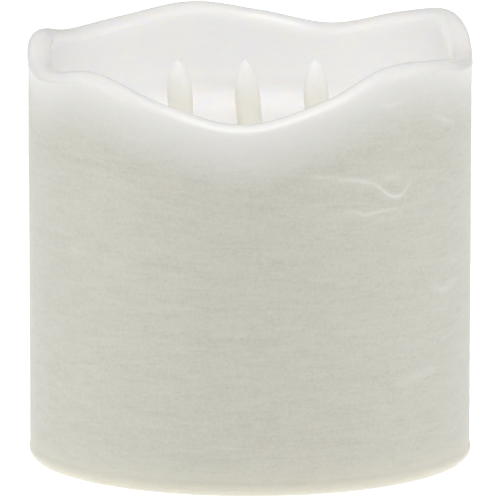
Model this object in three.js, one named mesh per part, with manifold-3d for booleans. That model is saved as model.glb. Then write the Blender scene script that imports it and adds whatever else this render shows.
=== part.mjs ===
// A battery-operated real-wax pillar candle with three translucent flame tips in a row.
// Millimetres, +Z up. The origin is the centre of the bottom, on the surface that the feet stand on.
// -Y is the front, where the melted rim dips lowest; the flames stand in a row along X.
import * as THREE from "three";
import { mergeVertices } from "three/addons/utils/BufferGeometryUtils.js";
import Module from "manifold-3d";

const wasm = await Module();
wasm.setup();

// ---------- driving dimensions ----------
const GAP = 0.3; // left between pieces that touch on the real object

// Wax pillar
const WAX_RADIUS = 75;
const WAX_WALL = 8;
const WAX_BOTTOM = 1; // the feet hold the wax this far off the surface
const WAX_FOOT_ROUND = 3.5;
const LIP_RADIUS = WAX_WALL / 2;
const DECK_TOP = 112; // floor of the recess that the flames rise from
const DECK_THICKNESS = 5;
const DECK_FILLET = 7;
// Crest of the melted rim: angle from +X in degrees, height above the surface.
const RIM = [
  [0, 140.5],
  [10, 147],
  [22, 150],
  [44, 146.1],
  [67, 140.2],
  [87, 143.9],
  [106, 147.3],
  [128, 143.9],
  [150, 142],
  [174, 145],
  [192, 138],
  [205, 136.5],
  [224, 138.5],
  [246, 130.5],
  [268, 124.5],
  [290, 131.5],
  [309, 141],
  [330, 141],
  [350, 138.5],
];

// Flames
const FLAME_PITCH = 23;
const FLAME_RADIUS = 4.3;
const FLAME_HEIGHT = 24; // above the deck
const FLAME_TAPER = 13.5; // length of the pointed part
const FLAME_WALL = 1.2;
const FLAME_SOLID_TIP = 7;
const FLAME_HOLLOW_TAPER = 9;
const FLAME_SKIRT_RADIUS = 4.05;
const FLAME_FLANGE_RADIUS = 5.5;
const FLAME_FLANGE_THICKNESS = 1.3;
const FLAMES = [
  { side: "left", x: -FLAME_PITCH, lean: 3 },
  { side: "centre", x: 0, lean: 4 },
  { side: "right", x: FLAME_PITCH, lean: 3 },
];

// Liner: the plastic cup that the wax is cast around
const LINER_RADIUS = WAX_RADIUS - WAX_WALL - GAP;
const LINER_WALL = 1.8;
const LINER_PLATE = 2;
const LINER_TOP = DECK_TOP - DECK_THICKNESS - GAP;
const PLATE_UNDERSIDE = LINER_TOP - LINER_PLATE;
const SOCKET_RADIUS = 5.8;
const SOCKET_BORE = 4.4;
const SOCKET_TOP = DECK_TOP - 2.3;

// LED board
const BOARD_THICKNESS = 1.6;
const LED_BOARD_TOP = PLATE_UNDERSIDE - FLAME_FLANGE_THICKNESS - 2 * GAP;
const LED_BOARD_HALF = [39, 6];
const LED_BOARD_SCREW_X = 34;
const LED_SEAT = DECK_TOP - 4;
const LED_RADIUS = 2.5;
const LED_HEIGHT = 8.6;
const LEAD_SPACING = 2.54;

// Base plate and its fixings
const BASE_UNDERSIDE = 2.5;
const BASE_THICKNESS = 2.5;
const BASE_TOP = BASE_UNDERSIDE + BASE_THICKNESS;
const BASE_RADIUS = 64.5;
const SPIGOT_TOP = 8.3;
const LUG_OFFSET = 42; // the four screws stand at (+-LUG_OFFSET, +-LUG_OFFSET)
const LUG_RADIUS = 4;
const LUG_BOTTOM = 8.9;
const LUG_TOP = 30;
const FOOT_OFFSET = [28, 50];
const FOOT_RADIUS = 5;
const FOOT_HEIGHT = 3;

// Battery bay: three C cells side by side, in series
const CELL_RADIUS = 12.9;
const CELL_LENGTH = 50;
const CELL_PITCH = 27.2;
const CELL_NUB = [3.3, 1.8];
const CELL_HEIGHT = 17.9; // of the cells' axes
const BAY_HALF = [41.3, 29];
const BAY_WALL = 1.8;
const BAY_TOP = 32.4;
const FLANGE_TOP = 8.2;
const CONTACT_THICKNESS = 0.5;
const CONTACT_HALF = 9; // half the width of one cell's contact
const CONTACT_SPAN = [9, 27];
const SPRING_WIRE = 0.45;
const SPRING_TURNS = 3;

// Battery door and its hinge
const DOOR_HALF_WIDTH = 43;
const DOOR_THICKNESS = 1.9;
const DOOR_GAP = 0.5;
const DOOR_FRONT = -30.75;
const HINGE_Y = 33.2;
const HINGE_Z = BASE_UNDERSIDE + DOOR_THICKNESS;
const HINGE_PIN = [0.9, 2.6];
const HINGE_BORE = 1.05;

// Control board and slide switch
const CONTROL_Y = -47.5;
const CONTROL_HALF = [23, 9.5];
const CONTROL_BOTTOM = 10;
const CONTROL_TOP = CONTROL_BOTTOM + BOARD_THICKNESS;
const POST_X = 19.5;
const POST_Y = CONTROL_Y + 6;
const SWITCH_TRAVEL = 2; // to each side of the middle, off, position
const KNOB_HALF = [1.5, 1.1];
const KNOB_TIP = 2.9;
const CARRIAGE_HALF = [2.6, 1.6];
const CARRIAGE_BOTTOM = 6.4;

const WIRE_RADIUS = 0.7;

// ---------- materials ----------
const standard = (color, roughness, metalness = 0) =>
  new THREE.MeshStandardMaterial({ color, roughness, metalness });
const MATERIALS = {
  wax: standard(0xe9e8e0, 0.45),
  flame: standard(0xe8e4d2, 0.35),
  liner: standard(0xeeeeea, 0.5),
  base: standard(0xe6e4dc, 0.5),
  led: standard(0xf0e2a0, 0.2),
  board: standard(0x2f6b3d, 0.5),
  steel: standard(0xb8bbbd, 0.3, 1),
  cell: standard(0x8d9399, 0.35, 0.8),
  rubber: standard(0x4a4a4a, 0.9),
  black: standard(0x1c1c1e, 0.5),
  red: standard(0xa51f1a, 0.5),
  resistor: standard(0xc9b48a, 0.6),
};

// ---------- solid helpers ----------
function solid(geometry) {
  const bare = geometry.index ? geometry.toNonIndexed() : geometry.clone();
  bare.deleteAttribute("normal");
  bare.deleteAttribute("uv");
  const merged = mergeVertices(bare, 1e-4);
  const corners = merged.index.array;
  const kept = [];
  for (let i = 0; i < corners.length; i += 3) {
    const [a, b, c] = [corners[i], corners[i + 1], corners[i + 2]];
    if (a !== b && b !== c && c !== a) kept.push(a, b, c);
  }
  return new wasm.Manifold(
    new wasm.Mesh({
      numProp: 3,
      vertProperties: merged.attributes.position.array,
      triVerts: new Uint32Array(kept),
    }),
  );
}

function geometryOf(manifold) {
  const mesh = manifold.getMesh();
  const geometry = new THREE.BufferGeometry();
  geometry.setAttribute(
    "position",
    new THREE.BufferAttribute(mesh.vertProperties, 3),
  );
  geometry.setIndex(new THREE.BufferAttribute(mesh.triVerts, 1));
  geometry.computeVertexNormals();
  return geometry;
}

// One solid from pieces to join and pieces to cut away, all given as geometries.
function shape(joined, removed = []) {
  let body = solid(joined[0]);
  for (const piece of joined.slice(1)) body = body.add(solid(piece));
  for (const tool of removed) body = body.subtract(solid(tool));
  return geometryOf(body);
}

function box(x0, x1, y0, y1, z0, z1) {
  return new THREE.BoxGeometry(x1 - x0, y1 - y0, z1 - z0).translate(
    (x0 + x1) / 2,
    (y0 + y1) / 2,
    (z0 + z1) / 2,
  );
}

function post(radius, z0, z1, x = 0, y = 0, sides = 16) {
  return new THREE.CylinderGeometry(radius, radius, z1 - z0, sides)
    .rotateX(Math.PI / 2)
    .translate(x, y, (z0 + z1) / 2);
}

function barAlongX(radius, x0, x1, y, z, sides = 16) {
  return new THREE.CylinderGeometry(radius, radius, x1 - x0, sides)
    .rotateZ(Math.PI / 2)
    .translate((x0 + x1) / 2, y, z);
}

// A solid of revolution about Z from a profile of [radius, height] that runs from axis to axis.
function turned(profile, segments) {
  const points = profile.map(([r, z]) => new THREE.Vector2(r, z));
  return new THREE.LatheGeometry(points, segments).rotateX(Math.PI / 2);
}

// Points of an arc in a profile, from one angle to another in degrees.
function arc(r, z, radius, from, to, steps) {
  return Array.from({ length: steps + 1 }, (_, i) => {
    const angle = THREE.MathUtils.degToRad(from + ((to - from) * i) / steps);
    return [r + radius * Math.cos(angle), z + radius * Math.sin(angle)];
  });
}

// A round bar swept along a curve.
function swept(curve, radius, steps, sides) {
  const section = new THREE.Shape(
    Array.from({ length: sides }, (_, i) => {
      const angle = (2 * Math.PI * i) / sides;
      return new THREE.Vector2(
        radius * Math.cos(angle),
        radius * Math.sin(angle),
      );
    }),
  );
  return new THREE.ExtrudeGeometry(section, { steps, extrudePath: curve });
}

// The corners (+-x, +-y) of a rectangle.
function corners(x, y) {
  return [
    [x, y],
    [-x, y],
    [-x, -y],
    [x, -y],
  ];
}

const candle = new THREE.Group();

function add(parent, name, geometry, material, position = [0, 0, 0]) {
  const mesh = new THREE.Mesh(geometry, MATERIALS[material]);
  mesh.name = name;
  mesh.position.set(...position);
  parent.add(mesh);
  return mesh;
}

// ---------- wax pillar ----------
// Height of the rim's crest at an angle in degrees: a closed cubic through the RIM points.
function rimHeight(angle) {
  const n = RIM.length;
  const at = (i) => {
    const [a, h] = RIM[((i % n) + n) % n];
    return [a + 360 * Math.floor(i / n), h];
  };
  const slope = (i) => {
    const [[a0, h0], [a1, h1]] = [at(i - 1), at(i + 1)];
    return (h1 - h0) / (a1 - a0);
  };
  const turn = THREE.MathUtils.euclideanModulo(angle, 360);
  let i = 0;
  while (at(i + 1)[0] <= turn) i += 1;
  const [[a0, h0], [a1, h1]] = [at(i), at(i + 1)];
  const width = a1 - a0;
  const t = (turn - a0) / width;
  return (
    h0 * (2 * t ** 3 - 3 * t ** 2 + 1) +
    slope(i) * width * (t ** 3 - 2 * t ** 2 + t) +
    h1 * (3 * t ** 2 - 2 * t ** 3) +
    slope(i + 1) * width * (t ** 3 - t ** 2)
  );
}

function waxBody() {
  const inner = WAX_RADIUS - WAX_WALL;
  const lipBase = 200; // a mark above everything else: the lip is brought down to the rim below
  const profile = [
    [0, DECK_TOP - DECK_THICKNESS],
    [inner, DECK_TOP - DECK_THICKNESS],
    [inner, WAX_BOTTOM],
    ...arc(
      WAX_RADIUS - WAX_FOOT_ROUND,
      WAX_BOTTOM + WAX_FOOT_ROUND,
      WAX_FOOT_ROUND,
      -90,
      0,
      3,
    ),
    ...arc(WAX_RADIUS - LIP_RADIUS, lipBase, LIP_RADIUS, 0, 180, 6),
    ...arc(
      inner - DECK_FILLET,
      DECK_TOP + DECK_FILLET,
      DECK_FILLET,
      0,
      -90,
      3,
    ),
    [30, DECK_TOP],
    [0, DECK_TOP],
  ];
  const body = turned(profile, 80);
  const position = body.attributes.position;
  for (let i = 0; i < position.count; i += 1) {
    const [x, y, z] = [position.getX(i), position.getY(i), position.getZ(i)];
    if (z < lipBase - 1e-3) continue;
    const crest = rimHeight(THREE.MathUtils.radToDeg(Math.atan2(y, x)));
    position.setZ(i, z - lipBase - LIP_RADIUS + crest);
  }
  const holes = FLAMES.flatMap(({ x }) => [
    post(
      SOCKET_RADIUS + GAP,
      DECK_TOP - DECK_THICKNESS - 1,
      SOCKET_TOP + GAP,
      x,
    ),
    post(FLAME_SKIRT_RADIUS + 0.55, DECK_TOP - DECK_THICKNESS, DECK_TOP + 1, x),
  ]);
  return shape([body], holes);
}

// ---------- flame tips and their lamps ----------
// Radius of an ogive at a distance below its point.
function ogive(radius, taper, below) {
  const t = Math.max(0, 1 - below / taper);
  return radius * (1 - t ** 2.2) ** 0.6;
}

function flameCap(lean) {
  const flangeBottom =
    PLATE_UNDERSIDE - GAP - FLAME_FLANGE_THICKNESS - DECK_TOP;
  const cavityTop = FLAME_HEIGHT - FLAME_SOLID_TIP;
  const inside = Array.from({ length: 5 }, (_, i) => {
    const depth = FLAME_HOLLOW_TAPER * (i / 4) ** 1.6;
    return [
      ogive(FLAME_RADIUS - FLAME_WALL, FLAME_HOLLOW_TAPER, depth),
      cavityTop - depth,
    ];
  });
  const outside = Array.from({ length: 8 }, (_, i) => {
    const depth = FLAME_TAPER * (1 - i / 7) ** 1.6;
    return [ogive(FLAME_RADIUS, FLAME_TAPER, depth), FLAME_HEIGHT - depth];
  });
  const profile = [
    ...inside,
    [FLAME_RADIUS - FLAME_WALL, 0],
    [FLAME_RADIUS - FLAME_WALL, flangeBottom],
    [FLAME_FLANGE_RADIUS, flangeBottom],
    [FLAME_FLANGE_RADIUS, flangeBottom + FLAME_FLANGE_THICKNESS],
    [FLAME_SKIRT_RADIUS, flangeBottom + FLAME_FLANGE_THICKNESS],
    [FLAME_SKIRT_RADIUS, 0],
    [FLAME_RADIUS, 4],
    ...outside,
  ];
  const cap = turned(profile, 16);
  const position = cap.attributes.position;
  const slope = Math.tan(THREE.MathUtils.degToRad(lean));
  for (let i = 0; i < position.count; i += 1)
    position.setX(
      i,
      position.getX(i) - slope * Math.max(0, position.getZ(i)),
    );
  return cap;
}

function ledLamp() {
  const dome = arc(0, LED_HEIGHT - LED_RADIUS, LED_RADIUS, 0, 90, 4);
  const body = turned(
    [[0, 0], [2.9, 0], [2.9, 1], [LED_RADIUS, 1], ...dome.slice(0, -1)].concat([
      [0, LED_HEIGHT],
    ]),
    14,
  );
  const leadEnd = LED_BOARD_TOP - BOARD_THICKNESS - 1.2 - LED_SEAT;
  const leads = [-1, 1].map((side) => {
    const x = (side * LEAD_SPACING) / 2;
    return box(x - 0.25, x + 0.25, -0.25, 0.25, leadEnd, 0.5);
  });
  return shape([body, ...leads]);
}

function ledBoard() {
  const [x, y] = LED_BOARD_HALF;
  const bottom = LED_BOARD_TOP - BOARD_THICKNESS;
  const holes = FLAMES.flatMap((flame) =>
    [-1, 1].map((side) =>
      post(
        0.55,
        bottom - 1,
        LED_BOARD_TOP + 1,
        flame.x + (side * LEAD_SPACING) / 2,
        0,
        8,
      ),
    ),
  );
  const screws = [-1, 1].map((side) =>
    post(
      1.4,
      bottom - 1,
      LED_BOARD_TOP + 1,
      side * LED_BOARD_SCREW_X,
      0,
      12,
    ),
  );
  return shape(
    [box(-x, x, -y, y, bottom, LED_BOARD_TOP)],
    [...holes, ...screws],
  );
}

// A pan-head screw, point up, with a cross recess in its head. Its origin is under the head.
function screw(headRadius, headHeight, shankRadius, length) {
  const head = turned(
    [
      [0, -headHeight],
      [headRadius - 0.5, -headHeight],
      [headRadius, -headHeight + 0.5],
      [headRadius, 0],
      [shankRadius, 0],
      [shankRadius, length - 2 * shankRadius],
      [0, length],
    ],
    14,
  );
  const slot = headRadius * 0.62;
  const depth = -headHeight * 0.45;
  return shape(
    [head],
    [
      box(-slot, slot, -0.28, 0.28, -headHeight - 1, depth),
      box(-0.28, 0.28, -slot, slot, -headHeight - 1, depth),
    ],
  );
}

// ---------- liner ----------
function liner() {
  const inside = LINER_RADIUS - LINER_WALL;
  const cup = turned(
    [
      [0, PLATE_UNDERSIDE],
      [inside, PLATE_UNDERSIDE],
      [inside, BASE_UNDERSIDE],
      [LINER_RADIUS, BASE_UNDERSIDE],
      [LINER_RADIUS, LINER_TOP],
      [0, LINER_TOP],
    ],
    48,
  );
  const lugDistance = Math.hypot(LUG_OFFSET, LUG_OFFSET);
  const lugs = [45, 135, 225, 315].flatMap((degrees) => {
    const turn = THREE.MathUtils.degToRad(degrees);
    return [
      post(LUG_RADIUS, LUG_BOTTOM, LUG_TOP, lugDistance).rotateZ(turn),
      box(lugDistance, inside + 0.9, -1.5, 1.5, LUG_BOTTOM, LUG_TOP).rotateZ(turn),
    ];
  });
  const sockets = FLAMES.map(({ x }) =>
    post(SOCKET_RADIUS, LINER_TOP - 1, SOCKET_TOP, x),
  );
  const bosses = [-1, 1].map((side) =>
    post(
      3,
      LED_BOARD_TOP + GAP,
      PLATE_UNDERSIDE + 0.5,
      side * LED_BOARD_SCREW_X,
      0,
      16,
    ),
  );
  return shape(
    [cup, ...lugs, ...sockets, ...bosses],
    [
      ...FLAMES.map(({ x }) =>
        post(SOCKET_BORE, PLATE_UNDERSIDE - 1, SOCKET_TOP + 1, x),
      ),
      ...corners(LUG_OFFSET, LUG_OFFSET).map(([x, y]) =>
        post(1.7, LUG_BOTTOM - 1, 24, x, y, 12),
      ),
      ...[-1, 1].map((side) =>
        post(
          1.2,
          LED_BOARD_TOP,
          LINER_TOP - 0.5,
          side * LED_BOARD_SCREW_X,
          0,
          12,
        ),
      ),
    ],
  );
}

// ---------- base plate ----------
function basePlate() {
  const [bayX, bayY] = BAY_HALF;
  const recessX = DOOR_HALF_WIDTH + DOOR_GAP;
  const disc = turned(
    [
      [0, BASE_UNDERSIDE],
      [BASE_RADIUS - 0.6, BASE_UNDERSIDE],
      [BASE_RADIUS, BASE_UNDERSIDE + 0.6],
      [BASE_RADIUS, SPIGOT_TOP],
      [BASE_RADIUS - 1.5, SPIGOT_TOP],
      [BASE_RADIUS - 1.5, BASE_TOP],
      [0, BASE_TOP],
    ],
    48,
  );
  const flange = box(
    -recessX - 4.5,
    recessX + 4.5,
    DOOR_FRONT - 3.75,
    HINGE_Y + 4.8,
    BASE_TOP - 0.5,
    FLANGE_TOP,
  );
  const bay = box(
    -bayX - BAY_WALL,
    bayX + BAY_WALL,
    -bayY - BAY_WALL,
    bayY + BAY_WALL,
    BASE_TOP - 0.5,
    BAY_TOP + BAY_WALL,
  );
  const bosses = corners(LUG_OFFSET, LUG_OFFSET).map(([x, y]) =>
    post(4.6, BASE_TOP - 0.5, SPIGOT_TOP, x, y),
  );
  const posts = [-1, 1].map((side) =>
    post(
      2.6,
      BASE_TOP - 0.5,
      CONTROL_BOTTOM - GAP,
      side * POST_X,
      POST_Y,
      14,
    ),
  );
  // The cavity leaves two ribs under its roof, which keep the cells apart.
  const ribHalf = 0.8;
  const ribBottom = BAY_TOP - 5;
  const cavity = [
    box(-bayX, bayX, -bayY, bayY, 0, ribBottom),
    ...[-1, 0, 1].map((cell) =>
      box(
        cell < 0 ? -bayX : (cell - 0.5) * CELL_PITCH + ribHalf,
        cell > 0 ? bayX : (cell + 0.5) * CELL_PITCH - ribHalf,
        -bayY,
        bayY,
        ribBottom - 1,
        BAY_TOP,
      ),
    ),
  ];
  const doorway = [
    box(
      -recessX,
      recessX,
      DOOR_FRONT - DOOR_GAP,
      HINGE_Y + DOOR_THICKNESS + GAP,
      0,
      HINGE_Z + 0.3,
    ),
    barAlongX(DOOR_THICKNESS + GAP, -recessX, recessX, HINGE_Y, HINGE_Z, 20),
    ...[-1, 1].map((side) =>
      barAlongX(
        HINGE_BORE,
        Math.min(side * (recessX + 2.5), side * recessX),
        Math.max(side * (recessX + 2.5), side * recessX),
        HINGE_Y,
        HINGE_Z,
        12,
      ),
    ),
    // a scoop for a fingertip in front of the latch
    barAlongX(5, -8, 8, DOOR_FRONT - 1.5, BASE_UNDERSIDE - 3.4, 20),
  ];
  const screwHoles = corners(LUG_OFFSET, LUG_OFFSET).flatMap(([x, y]) => [
    post(3.3, 0, 5.9, x, y),
    post(1.75, 0, SPIGOT_TOP + 1, x, y, 12),
  ]);
  const footSeats = corners(...FOOT_OFFSET).map(([x, y]) =>
    post(FOOT_RADIUS + 0.4, 0, FOOT_HEIGHT + GAP, x, y, 24),
  );
  const postHoles = [-1, 1].map((side) =>
    post(
      1.1,
      BASE_TOP,
      CONTROL_BOTTOM + 1,
      side * POST_X,
      POST_Y,
      10,
    ),
  );
  const slotX = KNOB_HALF[0] + SWITCH_TRAVEL + 0.4;
  const switchSlot = [
    box(-slotX, slotX, CONTROL_Y - 1.6, CONTROL_Y + 1.6, 0, BASE_TOP + 1),
    box(-8, 8, CONTROL_Y - 4, CONTROL_Y + 4, 0, BASE_UNDERSIDE + 1.4),
  ];
  const tabSlots = [
    [-CELL_PITCH, -1],
    [CELL_PITCH, 1],
  ].map(([x, end]) =>
    box(
      x - 2.2,
      x + 2.2,
      Math.min(end * (bayY - 1), end * (bayY + 4)),
      Math.max(end * (bayY - 1), end * (bayY + 4)),
      CONTACT_SPAN[1] - 1.2,
      CONTACT_SPAN[1] + 0.5,
    ),
  );
  return shape(
    [disc, flange, bay, ...bosses, ...posts],
    [
      ...cavity,
      ...doorway,
      ...screwHoles,
      ...footSeats,
      ...postHoles,
      ...switchSlot,
      ...tabSlots,
    ],
  );
}

// The door is made about its hinge axis: y and z are measured from the pins.
function batteryDoor() {
  const front = DOOR_FRONT - HINGE_Y;
  const panel = box(
    -DOOR_HALF_WIDTH,
    DOOR_HALF_WIDTH,
    front,
    0,
    -DOOR_THICKNESS,
    0,
  );
  const barrel = barAlongX(
    DOOR_THICKNESS,
    -DOOR_HALF_WIDTH,
    DOOR_HALF_WIDTH,
    0,
    0,
    20,
  );
  const [pinRadius, pinLength] = HINGE_PIN;
  const pins = [-1, 1].map((side) =>
    barAlongX(
      pinRadius,
      Math.min(side * (DOOR_HALF_WIDTH + pinLength), side * DOOR_HALF_WIDTH),
      Math.max(side * (DOOR_HALF_WIDTH + pinLength), side * DOOR_HALF_WIDTH),
      0,
      0,
      12,
    ),
  );
  const hook = box(-5, 5, front - 0.38, front + 1, -0.9, 0);
  const latchSlots = [-1, 1].map((side) =>
    box(side * 8 - 0.5, side * 8 + 0.5, front - 1, front + 11, -3, 1),
  );
  const gripGrooves = [2.6, 5, 7.4].map((y) =>
    box(-5.5, 5.5, front + y, front + y + 1, -3, -DOOR_THICKNESS + 0.5),
  );
  return shape([panel, barrel, ...pins, hook], [...latchSlots, ...gripGrooves]);
}

// ---------- cells and contacts ----------
// A C cell along +Y: the nub's face is at y = 0 and the flat end at y = CELL_LENGTH.
function cell() {
  const [nubRadius, nubHeight] = CELL_NUB;
  return turned(
    [
      [0, 0],
      [nubRadius, 0],
      [nubRadius, nubHeight],
      [CELL_RADIUS - 1, nubHeight],
      [CELL_RADIUS, nubHeight + 1],
      [CELL_RADIUS, CELL_LENGTH - 0.6],
      [CELL_RADIUS - 0.6, CELL_LENGTH],
      [0, CELL_LENGTH],
    ],
    28,
  ).rotateX(-Math.PI / 2);
}

// A contact plate across one or two cells, with a solder tab through the bay's wall if it ends the row.
// Its origin is the middle of the face that the cells press on; the wall is on the +Y side.
function contactPlate(cells, tab) {
  const half = CONTACT_HALF + ((cells - 1) * CELL_PITCH) / 2;
  const [low, high] = CONTACT_SPAN;
  const plate = box(-half, half, 0, CONTACT_THICKNESS, low, high);
  if (!tab) return plate;
  return shape([
    plate,
    box(-1.6, 1.6, 0, 6, high - CONTACT_THICKNESS, high),
  ]);
}

// A conical spring along Y, wide at y = 0 and narrow at the cell's end.
function contactSpring(length) {
  class ConicalHelix extends THREE.Curve {
    getPoint(t, target = new THREE.Vector3()) {
      const angle = 2 * Math.PI * SPRING_TURNS * t;
      const radius = THREE.MathUtils.lerp(7, 3.6, t);
      const y = SPRING_WIRE + (length - 2 * SPRING_WIRE) * t;
      return target.set(
        radius * Math.cos(angle),
        y,
        radius * Math.sin(angle),
      );
    }
  }
  return swept(new ConicalHelix(), SPRING_WIRE, 12 * SPRING_TURNS, 6);
}

// ---------- electronics ----------
function controlBoard() {
  const [x, y] = CONTROL_HALF;
  const holes = [-1, 1].map((side) =>
    post(1.4, -1, BOARD_THICKNESS + 1, side * POST_X, POST_Y - CONTROL_Y, 10),
  );
  return shape([box(-x, x, -y, y, 0, BOARD_THICKNESS)], holes);
}

// The switch's shell hangs under the board; the slider's carriage runs inside it.
function switchBody() {
  const top = CONTROL_BOTTOM - GAP;
  const bottom = BASE_TOP + 0.4;
  const slotX = KNOB_HALF[0] + SWITCH_TRAVEL + GAP;
  const insideX = CARRIAGE_HALF[0] + SWITCH_TRAVEL + GAP;
  const insideY = CARRIAGE_HALF[1] + GAP;
  return shape(
    [box(-insideX - 0.8, insideX + 0.8, -2.6, 2.6, bottom, top)],
    [
      box(-slotX, slotX, -KNOB_HALF[1] - GAP, KNOB_HALF[1] + GAP, bottom - 1, bottom + 1),
      box(-insideX, insideX, -insideY, insideY, CARRIAGE_BOTTOM - GAP, top - 1),
    ],
  );
}

function switchKnob() {
  const [x, y] = KNOB_HALF;
  const [carriageX, carriageY] = CARRIAGE_HALF;
  const carriage = box(
    -carriageX,
    carriageX,
    -carriageY,
    carriageY,
    CARRIAGE_BOTTOM,
    CARRIAGE_BOTTOM + 1.4,
  );
  const grooves = [-0.75, 0.75].map((middle) =>
    box(middle - 0.2, middle + 0.2, -2, 2, 0, KNOB_TIP + 0.35),
  );
  return shape([box(-x, x, -y, y, KNOB_TIP, CARRIAGE_BOTTOM + 0.5), carriage], grooves);
}

function timerChip() {
  const legs = [-1.9, -0.635, 0.635, 1.9].map((x) =>
    box(x - 0.2, x + 0.2, -3, 3, 0, 0.8),
  );
  return shape([box(-2.5, 2.5, -2, 2, 0.2, 1.7), ...legs]);
}

function resistor() {
  const body = new THREE.CylinderGeometry(1.1, 1.1, 6, 12)
    .rotateZ(Math.PI / 2)
    .translate(0, 0, 1.6);
  const leads = [-1, 1].flatMap((side) => [
    box(
      Math.min(side * 2.8, side * 5),
      Math.max(side * 2.8, side * 5),
      -0.25,
      0.25,
      1.35,
      1.85,
    ),
    box(
      Math.min(side * 4.5, side * 5),
      Math.max(side * 4.5, side * 5),
      -0.25,
      0.25,
      0,
      1.5,
    ),
  ]);
  return shape([body, ...leads]);
}

function crystal() {
  const outline = new THREE.Shape();
  outline.absarc(3, 0, 2, -Math.PI / 2, Math.PI / 2);
  outline.absarc(-3, 0, 2, Math.PI / 2, (3 * Math.PI) / 2);
  return new THREE.ExtrudeGeometry(outline, {
    depth: 3.4,
    bevelEnabled: false,
    curveSegments: 6,
  });
}

function capacitor() {
  return turned(
    [
      [0, 0],
      [2.5, 0],
      [2.5, 0.8],
      [2.25, 1.2],
      [2.5, 1.6],
      [2.5, 10.6],
      [2.1, 11],
      [0, 11],
    ],
    16,
  );
}

function wire(points) {
  const curve = new THREE.CatmullRomCurve3(
    points.map((p) => new THREE.Vector3(...p)),
    false,
    "centripetal",
  );
  const steps = Math.round(curve.getLength() / (7 * WIRE_RADIUS));
  return swept(curve, WIRE_RADIUS, steps, 6);
}

// ---------- assembly ----------
add(candle, "wax_body", waxBody(), "wax");
add(candle, "inner_liner", liner(), "liner");

for (const { side, x, lean } of FLAMES) {
  const flame = new THREE.Group();
  flame.position.set(x, 0, DECK_TOP);
  add(flame, `flame_${side}`, flameCap(lean), "flame");
  add(flame, `led_${side}`, ledLamp(), "led", [0, 0, LED_SEAT - DECK_TOP]);
  candle.add(flame);
}

add(candle, "led_board", ledBoard(), "board");
for (const [side, sign] of [
  ["left", -1],
  ["right", 1],
])
  add(candle, `led_board_screw_${side}`, screw(2, 1.6, 0.95, 4.6), "steel", [
    sign * LED_BOARD_SCREW_X,
    0,
    LED_BOARD_TOP - BOARD_THICKNESS - GAP,
  ]);

const base = new THREE.Group();
candle.add(base);
add(base, "base_plate", basePlate(), "base");
corners(LUG_OFFSET, LUG_OFFSET).forEach(([x, y], i) =>
  add(base, `base_screw_${i + 1}`, screw(2.8, 2, 1.4, 15), "steel", [
    x,
    y,
    5.6,
  ]),
);
corners(...FOOT_OFFSET).forEach(([x, y], i) =>
  add(
    base,
    `foot_${i + 1}`,
    turned(
      [
        [0, 0],
        [FOOT_RADIUS - 0.5, 0],
        [FOOT_RADIUS, 0.5],
        [FOOT_RADIUS, FOOT_HEIGHT],
        [0, FOOT_HEIGHT],
      ],
      24,
    ),
    "rubber",
    [x, y, 0],
  ),
);

const door = new THREE.Group();
door.position.set(0, HINGE_Y, HINGE_Z);
add(door, "battery_door", batteryDoor(), "base");
candle.add(door);

// Cells 1 and 3 point to the front and cell 2 to the back, so that the three are in series.
const contactY = BAY_HALF[1] - CONTACT_THICKNESS - 0.15;
const cellEnd = contactY - GAP;
const springLength = 2 * contactY - GAP - CELL_LENGTH - 2 * GAP;
[1, -1, 1].forEach((front, i) => {
  const cellBay = new THREE.Group();
  cellBay.position.set((i - 1) * CELL_PITCH, 0, CELL_HEIGHT);
  if (front < 0) cellBay.rotation.z = Math.PI;
  add(cellBay, `battery_${i + 1}`, cell(), "cell", [0, -cellEnd, 0]);
  const spring = add(
    cellBay,
    `battery_spring_${i + 1}`,
    contactSpring(springLength),
    "steel",
    [0, contactY - GAP, 0],
  );
  spring.rotation.z = Math.PI;
  candle.add(cellBay);
});
for (const [name, x, end, cells, tab] of [
  ["contact_positive", -CELL_PITCH, -1, 1, true],
  ["contact_bridge_front", CELL_PITCH / 2, -1, 2, false],
  ["contact_bridge_rear", -CELL_PITCH / 2, 1, 2, false],
  ["contact_negative", CELL_PITCH, 1, 1, true],
]) {
  const plate = add(candle, name, contactPlate(cells, tab), "steel", [
    x,
    end * contactY,
    0,
  ]);
  if (end < 0) plate.rotation.z = Math.PI;
}

const control = new THREE.Group();
control.position.set(0, CONTROL_Y, 0);
candle.add(control);
add(control, "control_board", controlBoard(), "board", [0, 0, CONTROL_BOTTOM]);
add(control, "switch_body", switchBody(), "steel");
add(control, "switch_knob", switchKnob(), "black");
const seat = CONTROL_TOP + GAP;
add(control, "timer_chip", timerChip(), "black", [0, -1, seat]);
add(control, "quartz_crystal", crystal(), "steel", [9.5, 2, seat]);
add(control, "capacitor", capacitor(), "black", [18.5, -3, seat]);
[-1, 0, 1].forEach((row, i) =>
  add(control, `resistor_${i + 1}`, resistor(), "resistor", [
    -11.5,
    row * 3.2 - 4.5,
    seat,
  ]),
);
[-1, 1].forEach((side) =>
  add(
    control,
    `control_board_screw_${side < 0 ? "left" : "right"}`,
    screw(2.1, 1.5, 0.9, 5).rotateX(Math.PI),
    "steel",
    [side * POST_X, POST_Y - CONTROL_Y, CONTROL_TOP + GAP],
  ),
);

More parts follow.
